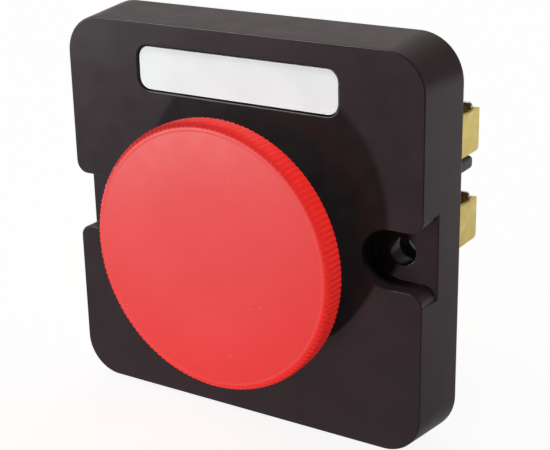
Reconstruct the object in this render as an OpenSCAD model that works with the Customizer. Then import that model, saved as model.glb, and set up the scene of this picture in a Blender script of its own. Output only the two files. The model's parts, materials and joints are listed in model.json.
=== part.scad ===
// Emergency stop button: a mushroom head on a square moulded front, with a contact block behind.
// Each sub-part is drawn with z out of the panel and y up, and place() stands it up in the shared frame.
// The origin is the centre of the rear face, which lies on the panel.

/* [Front housing] */
// Width of the front face
face_w = 77; // [74:0.5:84]
// Height of the front face
face_h = 75; // [72:0.5:82]
// Depth of the housing, from the panel to the front face
housing_d = 12.7; // [12.4:0.1:14]
// How far each side wall leans out from the front face to the panel
draft = 1.15; // [0.6:0.05:1.6]
// Corner radius of the front face
corner_r = 7.4; // [5:0.1:9]
// Thickness of the moulded walls
wall = 2.6; // [2:0.1:3]

/* [Side screw holes] */
// Distance between the two screw holes
hole_spacing = 64; // [62:0.5:65]
// Diameter of each screw hole
hole_d = 5.2; // [4.2:0.1:5.5]
// Radius of the pocket around each hole
pocket_r = 5.6; // [5:0.1:6]
// Depth of the pocket below the front face
pocket_d = 5.2; // [4:0.1:5.6]

/* [Label] */
// Width of the label plate
label_w = 43.2; // [30:0.1:50]
// Height of the label plate
label_h = 8.3; // [6:0.1:9]
// Height of the label's centre above the centre of the housing
label_y = 28.85; // [28.5:0.05:30]

/* [Mushroom head] */
// Diameter of the head over its teeth
cap_d = 51.8; // [50:0.1:52]
// Number of teeth around the rim
teeth = 150; // [120:2:160]
// Height of the button's axis above the centre of the housing
axis_y = -2.7; // [-4:0.1:-2]
// Distance from the panel to the flat of the head
cap_top = 22.9; // [22.9:0.1:24]
// Thickness of the head at its rim
cap_rim = 4.7; // [4.2:0.1:4.8]

/* [Travel] */
// How far the button travels when pressed
press = 4; // [3.5:0.1:4]
// Angle through which the head turns to release
twist = 45; // [30:1:45]

/* [Contact block] */
// Depth of the contact block behind the panel
block_d = 44; // [44:0.5:46]
// Half width over the outer faces of the terminal cages
cage_x = 21; // [20.5:0.1:22]
// Distance between the upper and the lower row of terminals
row_pitch = 20; // [19.5:0.1:20.5]
// Height of a terminal cage
cage_h = 9.3; // [8.5:0.1:9.6]
// Distance from the panel to the rear of the terminal cages
cage_rear = 48.8; // [48.8:0.2:50]

/* [Hidden] */

$fn = 64;
eps = 0.01;          // overlap that joins two solids of one piece
bore_gap = 0.1;      // running clearance around the stem

// Colours
black_plastic = [0.13, 0.11, 0.11];
cap_red = [0.85, 0.12, 0.13];
label_white = [0.93, 0.93, 0.93];
pale_plastic = [0.82, 0.82, 0.78];
brass = [0.78, 0.66, 0.32];
silver = [0.8, 0.8, 0.78];
steel = [0.62, 0.63, 0.65];
rubber_black = [0.07, 0.07, 0.07];

// Front housing
rear_w = face_w + 2 * draft;
rear_h = face_h + 2 * draft;
rear_land = 0.6;             // straight strip at the panel, behind the leaning walls
plate_z = housing_d - 3;     // inner face of the front plate
hole_x = hole_spacing / 2;
pocket_z = housing_d - pocket_d;
mouth_r = 2.4;               // rounding where a pocket opens through the side wall
label_recess = 1;            // depth of the pocket that the label lies in
label_t = 0.6;
label_r = 2.3;
label_gap = 0.28;            // dark line left around the label

// Guide collar and seal
stem_r = 6.5;
collar_r = 11;
collar_top = housing_d + 2.5;
collar_z = 8.2;
seal_z = housing_d + 0.6;
seal_r = 1;

// Stack behind the front plate: latch frame, latch cover, contact block
frame_top = 8;
frame_z = 4;
cover_z = 3.2;
flange_z = 2;
flange_w = 38;
flange_h = 57;
flange_r = 4;
fixing_y = 24.5;              // screws that hold the block to the front plate
post_r = 4;
screw_r = 1.45;

// Latch
slider_w = 6;
slider_z = 4.2;
slider_t = 2.4;
slider_in = 7.6;             // inner end of a slider's body, from the axis
slider_out = 12.3;
nose_z = 4.9;
nose_t = 1;
nose_w = 4;
spring_end = 16.9;           // outer end of a slider's channel

// Stem, counted along its axis from the foot
foot_z = -6;
foot_t = 2;
neck_r = 4.6;
stem_top = cap_top - 2;
groove_z = 8.7;
groove_r = 5.2;
cone_z = nose_z - 0.1;
ledge_r = stem_r - (groove_z - cone_z) / 4;
key_r = 8.2;
key_w = 3;

// Carrier
cup_r = 10.4;
cup_top = -2.6;
cup_z = -12;
beam_w = 8;
beam_h = 28;
beam_z = -31;
spigot_r = 3.2;
spigot_z = -33;
bridge_w = 5.6;
nc_window = [-28.4, -22.05];  // lower and upper end of the window that the NC bridge slides in
no_window = [-26.9, -19.4];
clip_z = foot_z + foot_t + 0.1;

// Contacts
strip_t = 1;
tip_r = 1.8;
tip_t = 1.1;
tip_x = 9.6;
nc_strip_z = -20;            // rear face of the NC fixed strip is strip_t below this
no_strip_z = -32;
contact_gap = press * 0.75 + 0.05;
leg_x = 17.05;
leg_in = 7.8;

// Contact block
block_x = 17;
block_y = 19.5;
cavity_x = 14.5;
cavity_y = 17;
floor_t = 2.5;
shoulder_z = -37;            // behind this the block narrows to make room for the terminals
core_x = 14.7;
barrier_y = 3.4;             // centre of the barrier under the upper terminals, from the axis
barrier_t = 3.3;
barrier_z = -45.7;

// Terminal cages
cage_in = 15;
cage_front = 38.8;
cage_wall = 0.8;
cage_back = 1.1;             // the rear wall is thicker, for the screw's thread
cage_r = 1;
seat_front = 40;
seat_x0 = 16.3;
seat_x1 = 19.7;
clamp_z = 46.4;
clamp_t = 0.8;
clamp_up = 1.4;              // how far a pressure plate stands above its cage
clamp_low = 4;
grub_r = 1.75;

SIDES = [-1, 1];
ROWS = [1, -1];              // upper row is normally closed, lower row is normally open

// ---- helpers -------------------------------------------------------------

// Turns a piece from panel coordinates (z out of the panel) into the shared frame
module place() { rotate([90, 0, 0]) children(); }

// Moves a piece onto the button's axis
module on_axis() { translate([0, axis_y, 0]) children(); }

// A rectangle with round corners, centred
module rounded_rect(w, h, r) {
  union() {
    square([w - 2 * r, h], center = true);
    square([w, h - 2 * r], center = true);
    for (x = [-1, 1], y = [-1, 1]) translate([x * (w / 2 - r), y * (h / 2 - r)]) circle(r);
  }
}

// A block between two heights
module slab(w, h, z0, z1, r = 0) {
  translate([0, 0, z0]) linear_extrude(z1 - z0)
    if (r > 0) rounded_rect(w, h, r); else square([w, h], center = true);
}

module disc(r, z0, z1) { translate([0, 0, z0]) cylinder(r = r, h = z1 - z0); }

// A box from one corner to the opposite one
module span(a, b) { translate(a) cube(b - a); }

// Points of one section of a coil: a small circle of the wire at the turn angle a
function wire_ring(r, wire, a, z, n) = [
  for (i = [0:n - 1]) let (b = 360 * i / n)
    [(r + wire * cos(b)) * cos(a), (r + wire * cos(b)) * sin(a), z + wire * sin(b)]
];

// A helical compression spring along z, with closed ends
module coil(r, wire, turns, z0, z1, steps = 14, sides = 6) {
  n = turns * steps;
  rise = z1 - z0 - 2 * wire;
  points = [for (k = [0:n]) each wire_ring(r, wire, 360 * k / steps, z0 + wire + rise * k / n, sides)];
  skin = [
    for (k = [0:n - 1], i = [0:sides - 1]) let (a = k * sides + i, b = k * sides + (i + 1) % sides)
      [a, a + sides, b + sides, b]
  ];
  ends = [[for (i = [0:sides - 1]) i], [for (i = [sides - 1:-1:0]) n * sides + i]];
  polyhedron(points, concat(skin, ends), convexity = 10);
}

// ---- front housing -------------------------------------------------------

// The outer shape, set in by a distance; its walls lean out towards the panel
module housing_form(inset, z0, z1) {
  hull() {
    slab(rear_w - 2 * inset, rear_h - 2 * inset, z0, z0 + eps, corner_r + draft - inset);
    slab(face_w - 2 * inset, face_h - 2 * inset, z1 - eps, z1, corner_r - inset);
  }
}

// Plan of a screw pocket on the right: round at the hole, flaring where it leaves the side wall
module pocket_plan(r) {
  mouth_x = rear_w / 2 - hole_x;
  flare = mouth_x - draft - mouth_r;
  circle(r);
  translate([0, -r]) square([mouth_x + 2, 2 * r]);
  difference() {
    translate([flare, -r - mouth_r]) square([mouth_r + 4, 2 * (r + mouth_r)]);
    for (y = [-1, 1]) translate([flare, y * (r + mouth_r)]) circle(mouth_r);
  }
}

module for_each_hole() {
  translate([hole_x, 0, 0]) children();
  mirror([1, 0, 0]) translate([hole_x, 0, 0]) children();
}

module front_housing() {
  color(black_plastic) difference() {
    union() {
      difference() {
        union() {
          housing_form(0, rear_land, housing_d);
          slab(rear_w, rear_h, 0, rear_land + eps, corner_r + draft);
        }
        difference() {
          translate([0, 0, -eps]) housing_form(wall, 0, plate_z + eps);
          for_each_hole() {
            disc(pocket_r + 2.2, pocket_z - 2.5, housing_d);
            disc(pocket_r, -1, housing_d);
            span([0, -pocket_r - 2.2, pocket_z - 2.5], [9, pocket_r + 2.2, housing_d]);
          }
          on_axis() disc(collar_r, collar_z, housing_d);
          for (y = [-1, 1]) on_axis() translate([0, y * fixing_y, 0]) disc(post_r, frame_top, housing_d);
        }
      }
      on_axis() disc(collar_r, housing_d - eps, collar_top);
    }
    for_each_hole() {
      translate([0, 0, pocket_z]) linear_extrude(pocket_d + 1) pocket_plan(pocket_r);
      disc(hole_d / 2, -1, housing_d);
    }
    translate([0, label_y, 0]) slab(label_w + 2 * label_gap, label_h + 2 * label_gap,
      housing_d - label_recess, housing_d + 1, label_r + label_gap);
    on_axis() {
      disc(stem_r + bore_gap, -1, collar_top + 1);
      disc(stem_r + 2 * seal_r + 0.1, seal_z - seal_r - 0.05, seal_z + seal_r + 0.05);
      for (y = [-1, 1]) translate([0, y * fixing_y, 0]) disc(screw_r + 0.05, frame_top - 1, plate_z + 1.4);
    }
  }
}

module label_plate() {
  color(label_white) translate([0, label_y, 0])
    slab(label_w, label_h, housing_d - label_recess, housing_d - label_recess + label_t, label_r);
}

module stem_seal() {
  color(rubber_black) on_axis() translate([0, 0, seal_z])
    rotate_extrude() translate([stem_r + seal_r + 0.05, 0]) circle(seal_r, $fn = 24);
}

// ---- head and stem -------------------------------------------------------

// Outline of the teeth: a tip and a valley for each tooth
module tooth_ring() {
  tip = cap_d / 2;
  root = tip - 0.3;
  step = 360 / teeth;
  polygon([
    for (i = [0:teeth - 1], k = [0:3])
      let (r = k < 2 ? tip : root, a = step * (i + [-0.14, 0.14, 0.36, 0.64][k]))
        [r * cos(a), r * sin(a)]
  ]);
}

module mushroom_cap() {
  tip = cap_d / 2;
  rim_z = cap_top - cap_rim;
  inner_z = cap_top - 2.5;
  color(cap_red) on_axis() difference() {
    union() {
      rotate_extrude($fn = 150) polygon([
        [0, rim_z], [tip - 0.6, rim_z], [tip - 0.6, cap_top - 1.2], [tip - 1.5, cap_top - 0.3],
        [tip - 1.9, cap_top], [0, cap_top],
      ]);
      translate([0, 0, rim_z + 0.3]) linear_extrude(cap_rim - 1.7) tooth_ring();
    }
    difference() {
      disc(tip - 2.4, rim_z - 1, inner_z);
      for (a = [0:60:300]) rotate(a) span([9, -0.6, inner_z - 1.2], [tip, 0.6, inner_z + 1]);
    }
    disc(stem_r - 1, inner_z - 1, stem_top);
    disc(screw_r + 0.05, stem_top - 1, stem_top + 1);
  }
}

module stem() {
  color(black_plastic) on_axis() difference() {
    union() {
      rotate_extrude() polygon([
        [0, foot_z], [stem_r, foot_z], [stem_r, foot_z + foot_t], [neck_r, foot_z + foot_t], [neck_r, 0.4],
        [stem_r, 2.3], [stem_r, cone_z], [ledge_r, groove_z], [groove_r, groove_z], [groove_r, 10.3],
        [stem_r, 10.3], [stem_r, cap_top - 2.5], [stem_r - 1.1, cap_top - 2.5], [stem_r - 1.1, stem_top],
        [0, stem_top],
      ]);
      span([0, -key_w / 2, foot_z], [key_r, key_w / 2, foot_z + foot_t]);
    }
    disc(screw_r + 0.15, foot_z - 1, stem_top + 1);
    disc(3, foot_z - 1, 12);
  }
}

module cap_screw() {
  color(steel) on_axis() difference() {
    union() {
      disc(screw_r, 11, stem_top + 0.9);
      disc(2.75, 10.1, 12);
    }
    rotate(20) span([-3, -0.35, 9], [3, 0.35, 10.8]);
  }
}

// ---- latch ---------------------------------------------------------------

module latch_frame() {
  color(pale_plastic) on_axis() difference() {
    slab(flange_w, flange_h, frame_z, frame_top, flange_r);
    disc(stem_r + 0.6, frame_z - 1, frame_top + 1);
    for (s = SIDES) span([s > 0 ? 0 : -spring_end, -slider_w / 2 - bore_gap, frame_z - 1],
      [s > 0 ? spring_end : 0, slider_w / 2 + bore_gap, slider_z + slider_t + bore_gap]);
    for (y = [-1, 1]) translate([0, y * fixing_y, 0]) disc(1.7, frame_z - 1, frame_top + 1);
    for (x = SIDES, y = [-1, 1]) translate([x * 11.5, y * 12.5, 0]) slab(8, 9, frame_z - 1, frame_top - 1.4, 1);
  }
}

module latch_cover() {
  color(steel) on_axis() difference() {
    slab(31.6, 35.6, cover_z, frame_z, 1);
    disc(stem_r + 1.2, cover_z - 1, frame_z + 1);
  }
}

// A slider drawn on the right, and turned half round for the left; its nose rides on the stem
module latch_slider(side) {
  color(steel) on_axis() rotate(side < 0 ? 180 : 0) difference() {
    union() {
      span([slider_in, -slider_w / 2, slider_z], [slider_out, slider_w / 2, slider_z + slider_t]);
      span([stem_r + 0.05, -nose_w / 2, nose_z], [slider_in + eps, nose_w / 2, nose_z + nose_t]);
    }
    disc(stem_r + 0.05, nose_z - 1, nose_z + nose_t + 1);
    translate([slider_out - 1.8, 0, slider_z + slider_t / 2]) rotate([0, 90, 0]) cylinder(r = 1.1, h = 3);
  }
}

module latch_spring(side) {
  color(steel) on_axis() rotate(side < 0 ? 180 : 0)
    translate([0, 0, slider_z + slider_t / 2]) rotate([0, 90, 0])
      coil(0.75, 0.18, 7, slider_out - 1.7, spring_end - 0.05, 12);
}

// ---- carrier -------------------------------------------------------------

module contact_carrier() {
  key_z = foot_z - 0.15;
  color(pale_plastic) on_axis() difference() {
    union() {
      disc(cup_r, cup_z, cup_top);
      slab(beam_w, beam_h, beam_z, cup_z + eps, 0.6);
      disc(spigot_r, spigot_z, beam_z + eps);
    }
    // Room for the stem's foot, its key and the spring that turns it back
    disc(stem_r + bore_gap, key_z, cup_top + 1);
    disc(5.6, cup_z + 1.6, 0);
    rotate(-15 - twist) rotate_extrude(angle = twist + 30)
      translate([stem_r - 0.4, key_z - 0.2]) square([key_r + 0.8 - stem_r, cup_top + 1.2 - key_z]);
    disc(stem_r + 1, clip_z, clip_z + 0.8);
    // Windows for the two bridging contacts
    window(ROWS[0], nc_window);
    window(ROWS[1], no_window);
  }
}

module window(row, z) {
  y = row * row_pitch / 2;
  span([-beam_w, y - bridge_w / 2 - 0.25, z[0]], [beam_w, y + bridge_w / 2 + 0.25, z[1]]);
}

// A sprung steel ring, open on one side, that traps the stem's foot in the cup
module retaining_clip() {
  color(steel) on_axis() translate([0, 0, clip_z + 0.05]) rotate(120) rotate_extrude(angle = 300)
    translate([neck_r + 0.4, 0]) square([stem_r + 0.85 - neck_r - 0.4, 0.6]);
}

module twist_spring() {
  color(steel) on_axis() coil(4.6, 0.35, 4, cup_z + 1.65, foot_z - 0.05);
}

module return_spring() {
  color(steel) on_axis() coil(4.2, 0.45, 6, -block_d + floor_t + 0.02, beam_z - 0.02);
}

// ---- contact block -------------------------------------------------------

module contact_block() {
  color(black_plastic) on_axis() difference() {
    union() {
      slab(flange_w, flange_h, flange_z, frame_z, flange_r);
      slab(2 * block_x, 2 * block_y, shoulder_z, flange_z + eps, 1.5);
      slab(2 * core_x, 2 * block_y, -block_d, shoulder_z + eps, 1);
      // Barrier that keeps the two rows of terminals apart
      intersection() {
        translate([0, barrier_y, 0]) slab(2 * cage_x, barrier_t, barrier_z, shoulder_z + eps, 1);
        rotate([0, -90, 0]) translate([0, 0, -cage_x]) linear_extrude(2 * cage_x)
          translate([(barrier_z + shoulder_z) / 2 + 1.5, barrier_y])
            rounded_rect(shoulder_z - barrier_z + 3, barrier_t, 1.3);
      }
    }
    slab(32, 36, cover_z, frame_z + 1, 1.2);
    slab(2 * cavity_x, 2 * cavity_y, -block_d + floor_t, frame_z, 1);
    for (y = [-1, 1]) translate([0, y * fixing_y, 0]) disc(1.7, flange_z - 1, frame_z + 1);
    for (s = SIDES) {
      strip_slot(s, ROWS[0], nc_strip_z);
      strip_slot(s, ROWS[1], no_strip_z);
    }
  }
}

// Slot in a side wall that a fixed contact passes through
module strip_slot(side, row, z) {
  y = row * row_pitch / 2;
  x0 = side > 0 ? cavity_x - 1 : -block_x - 1;
  span([x0, y - bridge_w / 2 - 0.1, z - strip_t - 0.05], [x0 + 3.5 + eps, y + bridge_w / 2 + 0.1, z + 0.05]);
}

module block_screws() {
  color(steel) on_axis() for (y = [-1, 1]) translate([0, y * fixing_y, 0]) difference() {
    union() {
      disc(screw_r, flange_z - 0.5, plate_z + 1);
      disc(2.75, flange_z - 1.8, flange_z);
    }
    rotate(30) span([-3, -0.35, flange_z - 3], [3, 0.35, flange_z - 1.1]);
  }
}

// ---- contacts ------------------------------------------------------------

// Brass strip: its inner end carries a tip, its leg runs back into the terminal and ends in a seat
module fixed_contact(side, row, z) {
  y = row * row_pitch / 2;
  w = bridge_w / 2;
  color(brass) on_axis() mirror([side < 0 ? 1 : 0, 0, 0]) {
    span([leg_in, y - w, z - strip_t], [leg_x + strip_t, y + w, z]);
    span([leg_x, y - w, -seat_front - strip_t], [leg_x + strip_t, y + w, z]);
    span([seat_x0, y - w - 0.6, -seat_front - strip_t], [seat_x1, y + w + 0.6, -seat_front]);
  }
}

module tip(x, row, z0) {
  translate([x, row * row_pitch / 2, 0]) disc(tip_r, z0, z0 + tip_t);
}

module fixed_contact_tips() {
  color(silver) on_axis() for (s = SIDES) {
    tip(s * tip_x, ROWS[0], nc_strip_z - strip_t - tip_t);
    tip(s * tip_x, ROWS[1], no_strip_z);
  }
}

nc_bridge_top = nc_strip_z - strip_t - 2 * tip_t - 0.02;
no_bridge_z = no_strip_z + 2 * tip_t + contact_gap;

module bridge(row, z) {
  color(brass) on_axis() translate([0, row * row_pitch / 2, 0])
    slab(2 * (tip_x + tip_r + 0.2), bridge_w, z, z + strip_t, 0.8);
}

module nc_bridge() { bridge(ROWS[0], nc_bridge_top - strip_t); }

module nc_bridge_tips() {
  color(silver) on_axis() for (s = SIDES) tip(s * tip_x, ROWS[0], nc_bridge_top);
}

module nc_bridge_spring() {
  color(steel) on_axis() translate([0, ROWS[0] * row_pitch / 2, 0])
    coil(1.7, 0.25, 4, nc_window[0] + 0.02, nc_bridge_top - strip_t - 0.02);
}

module no_bridge() { bridge(ROWS[1], no_bridge_z); }

module no_bridge_tips() {
  color(silver) on_axis() for (s = SIDES) tip(s * tip_x, ROWS[1], no_bridge_z - tip_t);
}

module no_bridge_spring() {
  color(steel) on_axis() translate([0, ROWS[1] * row_pitch / 2, 0])
    coil(1.7, 0.25, 5, no_bridge_z + strip_t + 0.02, no_window[1] - 0.02);
}

// ---- terminals -----------------------------------------------------------

// Side view of a cage: round at its lower rear corner
module cage_side() {
  h = cage_h / 2;
  difference() {
    translate([cage_front, -h]) square([cage_rear - cage_front, cage_h]);
    difference() {
      translate([cage_rear - cage_r, -h - 1]) square([cage_r + 1, cage_r + 1]);
      translate([cage_rear - cage_r, -h + cage_r]) circle(cage_r);
    }
  }
}

// Brass box open at the top and bottom, where the wire goes in
module terminal_cage(side, row) {
  w = bridge_w / 2;
  inner_rear = cage_rear - cage_back;
  color(brass) on_axis() mirror([side < 0 ? 1 : 0, 0, 0]) translate([0, row * row_pitch / 2, 0]) difference() {
    rotate([0, 90, 0]) translate([0, 0, cage_in]) linear_extrude(cage_x - cage_in) cage_side();
    span([cage_in + cage_wall, -cage_h, -inner_rear], [cage_x - cage_wall, cage_h, -cage_front - cage_wall]);
    span([leg_x - 0.1, -w - 0.1, -cage_front - 2], [leg_x + strip_t + 0.1, w + 0.1, -cage_front + 1]);
    translate([(seat_x0 + seat_x1) / 2, 0, -cage_rear - 1]) cylinder(r = grub_r + 0.05, h = 3);
  }
}

// Pressure plate under the screw; it stands above the cage, so that a wire can't pass behind it
module clamp_plate(side, row) {
  x0 = cage_in + cage_wall + 0.1;
  x1 = cage_x - cage_wall - 0.1;
  top = cage_h / 2 + clamp_up;
  color(silver) on_axis() mirror([side < 0 ? 1 : 0, 0, 0])
    translate([(x0 + x1) / 2, row * row_pitch / 2 + (top - clamp_low) / 2, 0])
      slab(x1 - x0, top + clamp_low, -clamp_z - clamp_t, -clamp_z, 0.9);
}

module terminal_screws() {
  x = (seat_x0 + seat_x1) / 2;
  color(steel) on_axis() for (s = SIDES, row = ROWS) translate([s * x, row * row_pitch / 2, 0]) difference() {
    disc(grub_r, -cage_rear - 0.8, -clamp_z - clamp_t - 0.02);
    rotate(s * row * 25) span([-3, -0.35, -cage_rear - 2], [3, 0.35, -cage_rear]);
  }
}

place() {
  front_housing();
  label_plate();
  stem_seal();
  mushroom_cap();
  stem();
  cap_screw();
  latch_frame();
  latch_cover();
  latch_slider(-1);  // latch_slider_left
  latch_slider(1);  // latch_slider_right
  latch_spring(-1);  // latch_spring_left
  latch_spring(1);  // latch_spring_right
  contact_carrier();
  retaining_clip();
  twist_spring();
  return_spring();
  contact_block();
  block_screws();
  fixed_contact(-1, ROWS[0], nc_strip_z);  // fixed_contact_nc_left
  fixed_contact(1, ROWS[0], nc_strip_z);  // fixed_contact_nc_right
  fixed_contact(-1, ROWS[1], no_strip_z);  // fixed_contact_no_left
  fixed_contact(1, ROWS[1], no_strip_z);  // fixed_contact_no_right
  fixed_contact_tips();
  nc_bridge();
  nc_bridge_tips();
  nc_bridge_spring();
  no_bridge();
  no_bridge_tips();
  no_bridge_spring();
  terminal_cage(-1, ROWS[0]);  // terminal_cage_nc_left
  terminal_cage(1, ROWS[0]);  // terminal_cage_nc_right
  terminal_cage(-1, ROWS[1]);  // terminal_cage_no_left
  terminal_cage(1, ROWS[1]);  // terminal_cage_no_right
  clamp_plate(-1, ROWS[0]);  // clamp_plate_nc_left
  clamp_plate(1, ROWS[0]);  // clamp_plate_nc_right
  clamp_plate(-1, ROWS[1]);  // clamp_plate_no_left
  clamp_plate(1, ROWS[1]);  // clamp_plate_no_right
  terminal_screws();
}
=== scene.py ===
"""Emergency stop button: finished surfaces, materials, light and camera over the CAD frame."""

import json
import math

import bmesh
import bpy
from mathutils import Matrix, Vector


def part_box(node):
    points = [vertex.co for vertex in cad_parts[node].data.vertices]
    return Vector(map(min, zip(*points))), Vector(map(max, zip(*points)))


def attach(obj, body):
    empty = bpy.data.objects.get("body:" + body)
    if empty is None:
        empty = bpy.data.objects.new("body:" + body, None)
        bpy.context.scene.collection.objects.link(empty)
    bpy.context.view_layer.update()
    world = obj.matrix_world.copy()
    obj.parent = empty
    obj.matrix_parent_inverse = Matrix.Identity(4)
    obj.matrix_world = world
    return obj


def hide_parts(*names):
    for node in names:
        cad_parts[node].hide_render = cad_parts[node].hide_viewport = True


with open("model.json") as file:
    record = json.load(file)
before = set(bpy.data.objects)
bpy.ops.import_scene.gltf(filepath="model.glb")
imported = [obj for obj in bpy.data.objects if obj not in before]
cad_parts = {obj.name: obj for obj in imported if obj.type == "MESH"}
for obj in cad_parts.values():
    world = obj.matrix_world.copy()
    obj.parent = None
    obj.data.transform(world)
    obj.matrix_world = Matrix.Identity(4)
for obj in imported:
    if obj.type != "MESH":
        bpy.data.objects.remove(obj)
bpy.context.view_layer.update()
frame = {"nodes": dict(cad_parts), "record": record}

MM = 0.001
NODES = frame["nodes"]
WHITE = (1, 1, 1, 1)
BLACK = (0, 0, 0, 1)

# Noise scale of the fine grain that spark erosion leaves on a moulding
GRAIN_SCALE = 2600

# ---- sizes, read from the frame where it holds them -------------------------

CAP_LOW, CAP_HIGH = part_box("mushroom_cap")
AXIS_Z = (CAP_LOW.z + CAP_HIGH.z) / 2
CAP_R = (CAP_HIGH.x - CAP_LOW.x) / 2
CAP_FRONT = -CAP_LOW.y
CAP_BACK = -CAP_HIGH.y
FLOOR_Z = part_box("front_housing")[0].z

# The head's teeth: their number, the points along each, their depth, and how broad their tips are
TEETH = 150
TOOTH_STEPS = 8
TOOTH_DEPTH = 0.2 * MM
TOOTH_BREADTH = 1.3

# The rounded front edge of the head: its size, how much of the teeth's depth reaches each step of it, how far
# in from the tips the face's paler red (painted sheen) meets the rim's red, and the fine groove just inside it
EDGE_IN = 1.3 * MM
EDGE_DOWN = 1.6 * MM
EDGE_CUT = (0, 0.1, 0.5, 0.9, 0.9, 0.8, 0.9, 1.0, 1.0)
PAINTED_SHEEN_EDGE_IN = 1.17 * MM
GROOVE_GAP = 0.4 * MM
GROOVE_HALF = 0.15 * MM
GROOVE_DEEP = 0.02 * MM

# The hollow underside of the head: rim and face thickness, the boss in the middle, and the ribs between, which
# are sunk a little into the rim and the face
CAP_WALL = 2.4 * MM
CAP_SHEET = 2.5 * MM
SOCKET_R = 5.5 * MM
SOCKET_STEP = 0.2 * MM
RIBS = 6
RIB_T = 1.2 * MM
RIB_DEEP = 1 * MM
RIB_START = 11.6 * MM
RIB_SUNK = 0.1 * MM

# Edges of the head that are sharper than this aren't shaded smooth
CAP_SMOOTH = math.radians(35)

# The screw holes: distance from the middle, a radius just outside their walls, and how far out of the panel
# their walls are painted black, as painted shade
BORE_X = 32 * MM
BORE_REACH = 2.91 * MM
BORE_SHADE_DEPTH = 3.8 * MM

# The camera: direction from the object, roll, distance, aim and focal length
CAMERA_AZIMUTH = 32.8
CAMERA_ELEVATION = 19.83
CAMERA_ROLL = -1.16
CAMERA_DISTANCE = 268.4 * MM
CAMERA_AIM = Vector((0.12, 0, -2.99)) * MM
CAMERA_LENS = 89.8
SENSOR_WIDTH = 36
CLIP_START = 10 * MM

# The key light: small and crisp, in front, low on the left; the label gets a little less of it
KEY_AT = Vector((-0.353, -0.615, -0.555))
KEY_SIZE = 0.068
KEY_POWER = 11.9
LABEL_GAIN = 0.95

# What the head's satin face reflects: a soft patch to the left
SHEEN_AT = Vector((-0.45, -0.6, 0.02))
SHEEN_POWER = 7.0

# What the black moulding reflects: a fainter patch, further round
HOUSING_SHEEN_AT = Vector((-0.72, -0.55, 0.08))
HOUSING_SHEEN_POWER = 7.4

# The side of the square patches that only show as reflections
PATCH_SIZE = 0.2

# Softboxes on the right: one high up that rakes the head's teeth, and one behind the front face for the rest,
# so that it stays out of the screw pockets
SIDE_AT = Vector((0.57, -0.07, 0.2))
SIDE_HALF = Vector((0, 0, 0.08))
SIDE_BACK_AT = Vector((0.5, 0.34, -0.05))
SIDE_BACK_HALF = Vector((0, 0, 0.2))
SIDE_WIDTH = 0.14
SIDE_POWER = 2.25
SIDE_BACK_POWER = 2.0
SIDE_BACK_TINT = (1, 0.92, 0.88)

# Overhead: a strip that lights what faces up, and a patch that only shows as glints on the upper edges
TOP_LEFT = Vector((-0.2, -0.14, 0.55))
TOP_RIGHT = Vector((0.35, -0.14, 0.55))
TOP_WIDTH = 0.06
TOP_POWER = 1.7
GLINT_AT = Vector((-0.32, -0.2, 0.5))
GLINT_POWER = 6

# Behind on the left: a strip that only shows as the pale line along the head's left edge
RIM_LOW = Vector((-0.6, 0.5, -0.4))
RIM_HIGH = Vector((-0.8, 0.28, -0.02))
RIM_WIDTH = 0.2
RIM_POWER = 7

# The floor: its size, its glow as the camera sees it, and as it shows in reflections in front and behind
FLOOR_SIZE = 6.0
FLOOR_GREY = (0.5, 0.5, 0.5, 1)
FLOOR_SEEN = 0.9
FLOOR_FRONT = 0.05
FLOOR_BACK = 0.75
FLOOR_FADE = (-0.1, 0.15)
FLOOR_ROUGH = 0.9

# The white surroundings: as the camera sees them, and as they light the object from in front, from behind and
# from the right, fading over the sky direction's Y and X
WORLD_SEEN = 1.0
WORLD_FRONT = 0.15
WORLD_BACK = 0.8
WORLD_RIGHT = 0.35
WORLD_FADE_Y = (0.1, 0.9)
WORLD_FADE_X = (-0.3, 0.3)
WORLD_TINT = (1, 0.94, 0.9, 1)


def linear(r, g, b):
    """An sRGB colour, 0 to 255, as the linear values that a shader takes."""
    def one(v):
        v /= 255
        return v / 12.92 if v <= 0.04045 else ((v + 0.055) / 1.055) ** 2.4
    return (one(r), one(g), one(b), 1)


# ---- node trees -------------------------------------------------------------

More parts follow.
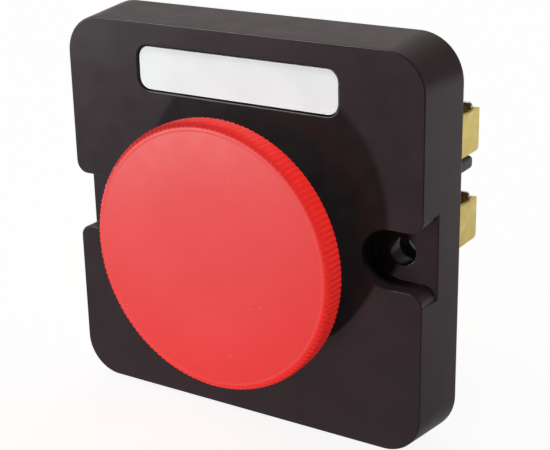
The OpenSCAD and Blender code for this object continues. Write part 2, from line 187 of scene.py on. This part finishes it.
class Nodes:
    """A node tree, with short ways to add the nodes that this script uses."""

    def __init__(self, tree, coordinates):
        self.tree = tree
        self.place = self.add("ShaderNodeTexCoord").outputs[coordinates]

    def add(self, kind):
        return self.tree.nodes.new(kind)

    def link(self, a, b):
        self.tree.links.new(a, b)

    def feed(self, socket, value):
        """Gives a socket its value: another node's output, or a plain number or colour."""
        if hasattr(value, "is_output"):
            self.link(value, socket)
        else:
            socket.default_value = value

    def stretched(self, scale):
        node = self.add("ShaderNodeMapping")
        node.inputs["Scale"].default_value = scale
        self.link(self.place, node.inputs["Vector"])
        return node.outputs["Vector"]

    def noise(self, scale, detail=4, rough=0.55, stretch=None):
        node = self.add("ShaderNodeTexNoise")
        node.inputs["Scale"].default_value = scale
        node.inputs["Detail"].default_value = detail
        node.inputs["Roughness"].default_value = rough
        self.link(self.stretched(stretch) if stretch else self.place, node.inputs["Vector"])
        return node.outputs["Fac"]

    def ramp(self, value, low, high, out_low=0.0, out_high=1.0):
        node = self.add("ShaderNodeMapRange")
        for key, number in zip(("From Min", "From Max", "To Min", "To Max"), (low, high, out_low, out_high)):
            node.inputs[key].default_value = number
        self.link(value, node.inputs["Value"])
        return node.outputs["Result"]

    def calc(self, operation, *values):
        node = self.add("ShaderNodeMath")
        node.operation = operation
        for socket, value in zip(node.inputs, values):
            self.feed(socket, value)
        return node.outputs["Value"]

    def apart(self):
        """The X, Y and Z of the place that is shaded."""
        node = self.add("ShaderNodeSeparateXYZ")
        self.link(self.place, node.inputs["Vector"])
        return node.outputs

    def mix(self, factor, a, b, kind="RGBA"):
        """Between two colours, or with kind VALUE between two numbers."""
        node = self.add("ShaderNodeMix")
        node.data_type = "FLOAT" if kind == "VALUE" else kind
        self.link(factor, node.inputs["Factor"])
        for key, value in (("A", a), ("B", b)):
            self.feed(next(s for s in node.inputs if s.name == key and s.type == kind), value)
        return next(s for s in node.outputs if s.type == kind)

    def ray(self, kind):
        """1 where the light path is of one kind, such as Is Camera Ray, and 0 elsewhere."""
        return self.add("ShaderNodeLightPath").outputs[kind]


# ---- materials --------------------------------------------------------------

class Shader(Nodes):
    """A principled material with procedural colour, roughness and bump."""

    def __init__(self, name):
        self.material = bpy.data.materials.new(name)
        self.material.use_nodes = True
        super().__init__(self.material.node_tree, "Object")
        self.bsdf = self.tree.nodes["Principled BSDF"]

    def set(self, **values):
        for key, value in values.items():
            self.bsdf.inputs[key.replace("_", " ")].default_value = value
        return self

    def colour(self, socket):
        self.link(socket, self.bsdf.inputs["Base Color"])

    def rough(self, socket):
        self.link(socket, self.bsdf.inputs["Roughness"])

    def bump(self, socket, height):
        """Adds relief of this height, over any that is there already."""
        node = self.add("ShaderNodeBump")
        node.inputs["Distance"].default_value = height
        self.link(socket, node.inputs["Height"])
        previous = self.bsdf.inputs["Normal"]
        if previous.is_linked:
            self.link(previous.links[0].from_socket, node.inputs["Normal"])
        self.link(node.outputs["Normal"], previous)


def moulded(name, dark, light, rough_low, rough_high, grain=0.012 * MM, specular=0.5, shade=None):
    """A satin moulding: slow cloudiness, fine grain and faint flow marks. The shade mask paints a place black,
    as painted shade.
    """
    s = Shader(name).set(Specular_IOR_Level=specular)
    tone = s.mix(s.ramp(s.noise(90, 3), 0.35, 0.65), dark, light)
    gloss = s.ramp(s.noise(260, 5), 0.3, 0.7, rough_low, rough_high)
    # Painted shade: where the mask is 1, the colour is painted black and the surface made fully rough
    if shade:
        black = shade(s)
        tone = s.mix(black, tone, BLACK)
        gloss = s.calc("MAXIMUM", gloss, black)
    s.colour(tone)
    s.rough(gloss)
    s.bump(s.noise(GRAIN_SCALE, 3, 0.6), grain)
    s.bump(s.noise(140, 2), grain)
    return s.material


def painted_bore_shade(s):
    """Painted shade: 1 on the far part of the two screw holes' walls, painted black as if no light reached
    them, 0 elsewhere.
    """
    x, y, z = s.apart()
    across = s.calc("SUBTRACT", s.calc("ABSOLUTE", x), BORE_X)
    away = s.calc("SQRT", s.calc("ADD", s.calc("MULTIPLY", across, across), s.calc("MULTIPLY", z, z)))
    return s.calc("MULTIPLY", s.calc("LESS_THAN", away, BORE_REACH), s.calc("GREATER_THAN", y, -BORE_SHADE_DEPTH))


def on_the_rim(s):
    """1 on the head's toothed rim, and 0 on its face."""
    x, _, z = s.apart()
    up = s.calc("SUBTRACT", z, AXIS_Z)
    out = s.calc("SQRT", s.calc("ADD", s.calc("MULTIPLY", x, x), s.calc("MULTIPLY", up, up)))
    return s.calc("GREATER_THAN", out, CAP_R - PAINTED_SHEEN_EDGE_IN)


def red_moulding():
    """The head's dyed plastic: pale specks on its face, whose red is paler than the rim's as painted sheen."""
    s = Shader("head_red").set(Specular_IOR_Level=0.3)
    # Painted sheen: the face gets a paler, pinker red than the rim
    face = s.mix(s.ramp(s.noise(70, 3), 0.35, 0.65), linear(222, 49, 49), linear(225, 52, 52))
    body = s.mix(on_the_rim(s), face, linear(232, 43, 39))
    specks = s.ramp(s.noise(1200, 2, 0.5), 0.74, 0.82)
    s.colour(s.mix(specks, body, linear(240, 115, 108)))
    s.rough(s.ramp(s.noise(300, 4), 0.3, 0.7, 0.46, 0.52))
    s.bump(s.noise(GRAIN_SCALE, 3, 0.6), 0.006 * MM)
    return s.material


def metal(name, dark, light, rough_low, rough_high, brush=(1, 1, 1), scratch=0.004 * MM):
    """A plain or plated metal: tarnish in patches, roll marks along one way."""
    s = Shader(name).set(Metallic=1.0)
    s.colour(s.mix(s.ramp(s.noise(220, 5), 0.3, 0.7), dark, light))
    s.rough(s.ramp(s.noise(500, 4, stretch=brush), 0.3, 0.7, rough_low, rough_high))
    s.bump(s.noise(1800, 3, stretch=brush), scratch)
    return s.material


def make_materials():
    """One material for each slot of the record."""
    return {
        # The housing's screw holes are painted black deep inside, as painted shade
        "black_plastic": moulded("housing_black", linear(43, 34, 37), linear(48, 38, 41), 0.31, 0.38,
                                 specular=0.22, shade=painted_bore_shade),
        "label": moulded("label_white", linear(238, 242, 243), linear(244, 249, 250), 0.3, 0.4, 0.004 * MM),
        "rubber": moulded("seal_rubber", linear(24, 24, 24), linear(34, 33, 32), 0.6, 0.75, 0.01 * MM, 0.3),
        "red_cap": red_moulding(),
        "black_plastic_inner": moulded("stem_black", linear(32, 32, 32), linear(40, 40, 39), 0.3, 0.4),
        "zinc_steel": metal("zinc_plate", linear(186, 190, 186), linear(214, 216, 208), 0.24, 0.4),
        "pale_plastic": moulded("acetal_cream", linear(226, 222, 206), linear(236, 233, 220), 0.4, 0.5,
                                0.006 * MM),
        "spring_steel": metal("spring_steel", linear(150, 151, 152), linear(186, 186, 184), 0.2, 0.34),
        "block_plastic": moulded("block_black", linear(40, 37, 35), linear(48, 45, 42), 0.42, 0.54),
        "silver": metal("contact_silver", linear(222, 220, 212), linear(238, 237, 230), 0.16, 0.3),
        "brass": metal("terminal_brass", linear(214, 190, 102), linear(236, 216, 132), 0.3, 0.46,
                       brush=(1, 0.15, 1)),
        "nickel_plate": metal("nickel_plate", linear(206, 204, 196), linear(228, 226, 220), 0.2, 0.36),
    }


# ---- CAD nodes: material and eased edges ------------------------------------

# Corners closer than the gap are one corner, faces within the flat angle are one face, and edges past the
# sharp angle are eased
WELD_GAP = 0.001 * MM
FLAT_ANGLE = math.radians(1)
SHARP_ANGLE = math.radians(32)


def ease_edges(obj, width, segments, clamp):
    """Rounds a CAD node's sharp edges, so that they catch the light as moulded or cut edges do.

    The clamp keeps the rounding smaller than the faces beside it. The front housing does without it, because
    its many small faces would take the rounding away.
    """
    weld = obj.modifiers.new("weld", "WELD")
    weld.merge_threshold = WELD_GAP
    flat = obj.modifiers.new("flat", "DECIMATE")
    flat.decimate_type = "DISSOLVE"
    flat.angle_limit = FLAT_ANGLE
    bevel = obj.modifiers.new("edge", "BEVEL")
    bevel.width = width
    bevel.segments = segments
    bevel.limit_method = "ANGLE"
    bevel.angle_limit = SHARP_ANGLE
    bevel.use_clamp_overlap = clamp
    obj.modifiers.new("normals", "WEIGHTED_NORMAL").keep_sharp = False


# The radius of each node's eased edges in mm, and the steps that it is rounded in
EDGES = {
    "front_housing": (0.24, 3), "label_plate": (0.12, 2), "contact_block": (0.25, 2), "latch_frame": (0.2, 2),
    "contact_carrier": (0.2, 2), "stem": (0.15, 2), "latch_cover": (0.12, 2), "cap_screw": (0.12, 2),
    "block_screws": (0.2, 2), "terminal_screws": (0.12, 2),
}
FINE_EDGE = (0.1, 2)

# Nodes without sharp edges to ease, and the head, which a piece stands for
ROUND = {"mushroom_cap", "stem_seal"} | {n for n in NODES if "spring" in n}


def dress_nodes(materials):
    """Gives every CAD node its material, smooth shading and, where it has sharp edges, eased ones."""
    for part in frame["record"]["subparts"]:
        name = part["node"]
        obj = NODES[name]
        obj.data.materials.clear()
        obj.data.materials.append(materials[part["material_slot"]])
        for polygon in obj.data.polygons:
            polygon.use_smooth = True
        if name not in ROUND:
            width, segments = EDGES.get(name, FINE_EDGE)
            ease_edges(obj, width * MM, segments, clamp=name != "front_housing")


# ---- the head ---------------------------------------------------------------

def cap_profile():
    """Section of the head: its face, its rounded front edge, its rim and its hollow underside.

    Each point is radius, distance from the panel, and how deeply the teeth cut there, from 0 to 1.
    """
    r, front, back = CAP_R, CAP_FRONT, CAP_BACK
    groove = r - EDGE_IN - GROOVE_GAP
    points = [
        (0.0, front, 0), (0.5 * r, front, 0),
        (groove - GROOVE_HALF, front, 0), (groove, front - GROOVE_DEEP, 0), (groove + GROOVE_HALF, front, 0),
    ]
    for k, cut in enumerate(EDGE_CUT):
        a = math.radians(90 * k / (len(EDGE_CUT) - 1))
        points.append((r - EDGE_IN * (1 - math.sin(a)), front - EDGE_DOWN * (1 - math.cos(a)), cut))
    points += [
        (r, back + 0.9 * MM, 1), (r - 0.08 * MM, back + 0.5 * MM, 0.8), (r - 0.35 * MM, back + 0.15 * MM, 0.4),
        (r - 0.7 * MM, back, 0),
    ]
    inner, under = r - CAP_WALL, front - CAP_SHEET
    points += [
        (inner + 0.25 * MM, back, 0), (inner + 0.07 * MM, back + 0.07 * MM, 0), (inner, back + 0.25 * MM, 0),
        (inner, under - 0.3 * MM, 0), (inner - 0.1 * MM, under - 0.1 * MM, 0), (inner - 0.3 * MM, under, 0),
        (SOCKET_R, under, 0), (SOCKET_R, under + SOCKET_STEP, 0), (0.0, under + SOCKET_STEP, 0),
    ]
    return points


def tooth(k):
    """How far a point lies below the tips of the teeth, from 0 to 1, at step k of one tooth."""
    wave = 0.5 - 0.5 * math.cos(2 * math.pi * k / TOOTH_STEPS)
    return wave ** TOOTH_BREADTH


def revolve(mesh, profile, columns, cut):
    """Adds a closed surface of revolution about the button's axis; cut(column) deepens each point's radius."""
    rings = []
    for radius, out, depth in profile:
        if radius == 0:
            rings.append([mesh.verts.new((0, -out, AXIS_Z))])
            continue
        ring = []
        for c in range(columns):
            a = 2 * math.pi * c / columns
            at = radius - depth * cut(c)
            ring.append(mesh.verts.new((at * math.cos(a), -out, AXIS_Z + at * math.sin(a))))
        rings.append(ring)
    for first, second in zip(rings, rings[1:]):
        for c in range(columns):
            d = (c + 1) % columns
            if len(first) == 1:
                mesh.faces.new((first[0], second[d], second[c]))
            elif len(second) == 1:
                mesh.faces.new((first[c], first[d], second[0]))
            else:
                mesh.faces.new((first[c], first[d], second[d], second[c]))


def add_box(mesh, low, high, turn):
    """Adds a box, turned about the button's axis."""
    made = bmesh.ops.create_cube(mesh, size=1)["verts"]
    size = [h - l for l, h in zip(low, high)]
    centre = [(h + l) / 2 for l, h in zip(low, high)]
    bmesh.ops.scale(mesh, vec=size, verts=made)
    bmesh.ops.translate(mesh, vec=centre, verts=made)
    bmesh.ops.rotate(mesh, cent=(0, 0, AXIS_Z), matrix=Matrix.Rotation(turn, 3, "Y"), verts=made)


def make_head(materials):
    """The red head, which stands for the CAD's mushroom_cap and turns with the button."""
    mesh = bmesh.new()
    revolve(mesh, cap_profile(), TEETH * TOOTH_STEPS, lambda c: TOOTH_DEPTH * tooth(c % TOOTH_STEPS))
    under = CAP_FRONT - CAP_SHEET
    for k in range(RIBS):
        add_box(mesh, (RIB_START, -under - RIB_SUNK, AXIS_Z - RIB_T / 2),
                (CAP_R - CAP_WALL + RIB_SUNK, -under + RIB_DEEP, AXIS_Z + RIB_T / 2), 2 * math.pi * k / RIBS)
    bmesh.ops.recalc_face_normals(mesh, faces=mesh.faces)
    data = bpy.data.meshes.new("cap_head")
    mesh.to_mesh(data)
    mesh.free()
    head = bpy.data.objects.new("cap_head", data)
    bpy.context.scene.collection.objects.link(head)
    data.materials.append(materials["red_cap"])
    data.shade_smooth()
    data.set_sharp_from_angle(angle=CAP_SMOOTH)
    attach(head, "button")
    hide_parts("mushroom_cap")
    return head


# ---- stage, light, camera ---------------------------------------------------

def make_floor():
    """A plain pale floor at the object's lowest point, which glows only to the camera and in reflections."""
    bpy.ops.mesh.primitive_plane_add(size=FLOOR_SIZE, location=(0, 0, FLOOR_Z))
    floor = bpy.context.object
    floor.name = "floor"
    floor.visible_shadow = False
    s = Shader("floor_pale").set(Base_Color=FLOOR_GREY, Roughness=FLOOR_ROUGH, Specular_IOR_Level=0.0,
                                 Emission_Color=WHITE)
    mirrored = s.ramp(s.apart()["Y"], *FLOOR_FADE, FLOOR_FRONT, FLOOR_BACK)
    seen = s.mix(s.ray("Is Camera Ray"), mirrored, FLOOR_SEEN, "VALUE")
    s.link(s.mix(s.ray("Is Diffuse Ray"), seen, 0.0, "VALUE"), s.bsdf.inputs["Emission Strength"])
    floor.data.materials.append(s.material)


def make_world():
    """White surroundings: bright behind the panel and on the left, dim in front, where the room is dark."""
    world = bpy.data.worlds.new("studio")
    bpy.context.scene.world = world
    world.use_nodes = True
    sky = Nodes(world.node_tree, "Generated")
    x, y, _ = sky.apart()
    lit = sky.calc("MULTIPLY", sky.ramp(y, *WORLD_FADE_Y, WORLD_FRONT, WORLD_BACK),
                   sky.ramp(x, *WORLD_FADE_X, 1.0, WORLD_RIGHT))
    camera = sky.ray("Is Camera Ray")
    background = sky.tree.nodes["Background"]
    sky.link(sky.mix(camera, lit, WORLD_SEEN, "VALUE"), background.inputs["Strength"])
    sky.link(sky.mix(camera, WORLD_TINT, WHITE), background.inputs["Color"])


def strip_light(name, start, end, width, power, colour=(1, 1, 1)):
    """A rectangular softbox between two points, turned to face the object."""
    light = bpy.data.lights.new(name, "AREA")
    light.shape = "RECTANGLE"
    light.size = width
    light.size_y = (end - start).length
    light.energy = power
    light.color = colour
    obj = bpy.data.objects.new(name, light)
    bpy.context.scene.collection.objects.link(obj)
    middle = (start + end) / 2
    along = (end - start).normalized()
    back = middle - middle.dot(along) * along
    back.normalize()
    place = Matrix((along.cross(back), along, back)).transposed().to_4x4()
    place.translation = middle
    obj.matrix_world = place
    return obj


def light_only(light, receivers, blockers):
    """Lets a light fall on some objects alone, and lets only some cast its shadows; the floor stays even."""
    for name, objects in (("receiver", receivers), ("blocker", blockers)):
        group = bpy.data.collections.new(f"{light.name}_{name}s")
        for obj in objects:
            group.objects.link(obj)
        setattr(light.light_linking, name + "_collection", group)


def square_light(name, place, size, power, diffuse=True, glossy=True):
    """An upright square softbox, which may be left out of the shading or out of the reflections."""
    half = Vector((0, 0, size / 2))
    light = strip_light(name, place - half, place + half, size, power)
    light.visible_diffuse = diffuse
    light.visible_glossy = glossy
    return light


def make_lights(head):
    """Every light, each on the pieces that it is meant for.

    The key has twins: the housing doesn't block its own, and the head doesn't block the label's.
    """
    pieces = [o for o in bpy.data.objects if o.type == "MESH" and o.name != "floor"]
    housing, label = NODES["front_housing"], NODES["label_plate"]

    def without(*left_out):
        return [o for o in pieces if o not in left_out]

    not_head = without(head)
    for name, gain, receivers, blockers in (
            ("key", 1, without(housing, label), pieces), ("housing_key", 1, [housing], without(housing)),
            ("label_key", LABEL_GAIN, [label], not_head)):
        light_only(square_light(name, KEY_AT, KEY_SIZE, KEY_POWER * gain, glossy=False), receivers, blockers)

    for name, place, power, receivers, blockers in (
            ("sheen", SHEEN_AT, SHEEN_POWER, [head], pieces),
            ("housing_sheen", HOUSING_SHEEN_AT, HOUSING_SHEEN_POWER, not_head, not_head),
            ("glint", GLINT_AT, GLINT_POWER, not_head, pieces)):
        light_only(square_light(name, place, PATCH_SIZE, power, diffuse=False), receivers, blockers)

    rim = strip_light("rim", RIM_LOW, RIM_HIGH, RIM_WIDTH, RIM_POWER)
    rim.visible_diffuse = False
    light_only(rim, [head], pieces)
    top = strip_light("top", TOP_LEFT, TOP_RIGHT, TOP_WIDTH, TOP_POWER)
    top.visible_glossy = False
    light_only(top, pieces, pieces)
    for name, place, half, power, receivers, tint in (
            ("side", SIDE_AT, SIDE_HALF, SIDE_POWER, [head], WHITE[:3]),
            ("side_back", SIDE_BACK_AT, SIDE_BACK_HALF, SIDE_BACK_POWER, not_head, SIDE_BACK_TINT)):
        side = strip_light(name, place - half, place + half, SIDE_WIDTH, power, tint)
        side.visible_glossy = False
        light_only(side, receivers, pieces)


def make_camera():
    """The camera at the photograph's viewing angle."""
    azimuth, elevation = math.radians(CAMERA_AZIMUTH), math.radians(CAMERA_ELEVATION)
    back = Vector((math.sin(azimuth) * math.cos(elevation), -math.cos(azimuth) * math.cos(elevation),
                   math.sin(elevation)))
    right = Vector((math.cos(azimuth), math.sin(azimuth), 0))
    up = back.cross(right)
    roll = math.radians(CAMERA_ROLL)
    rolled_right = math.cos(roll) * right + math.sin(roll) * up
    rolled_up = -math.sin(roll) * right + math.cos(roll) * up
    data = bpy.data.cameras.new("camera")
    data.lens = CAMERA_LENS
    data.sensor_width = SENSOR_WIDTH
    data.clip_start = CLIP_START
    camera = bpy.data.objects.new("camera", data)
    bpy.context.scene.collection.objects.link(camera)
    place = Matrix((rolled_right, rolled_up, back)).transposed().to_4x4()
    place.translation = CAMERA_AIM + back * CAMERA_DISTANCE
    camera.matrix_world = place
    bpy.context.scene.camera = camera


def main():
    bpy.context.scene.view_settings.view_transform = "Standard"
    materials = make_materials()
    dress_nodes(materials)
    head = make_head(materials)
    make_floor()
    make_world()
    make_lights(head)
    make_camera()


main()
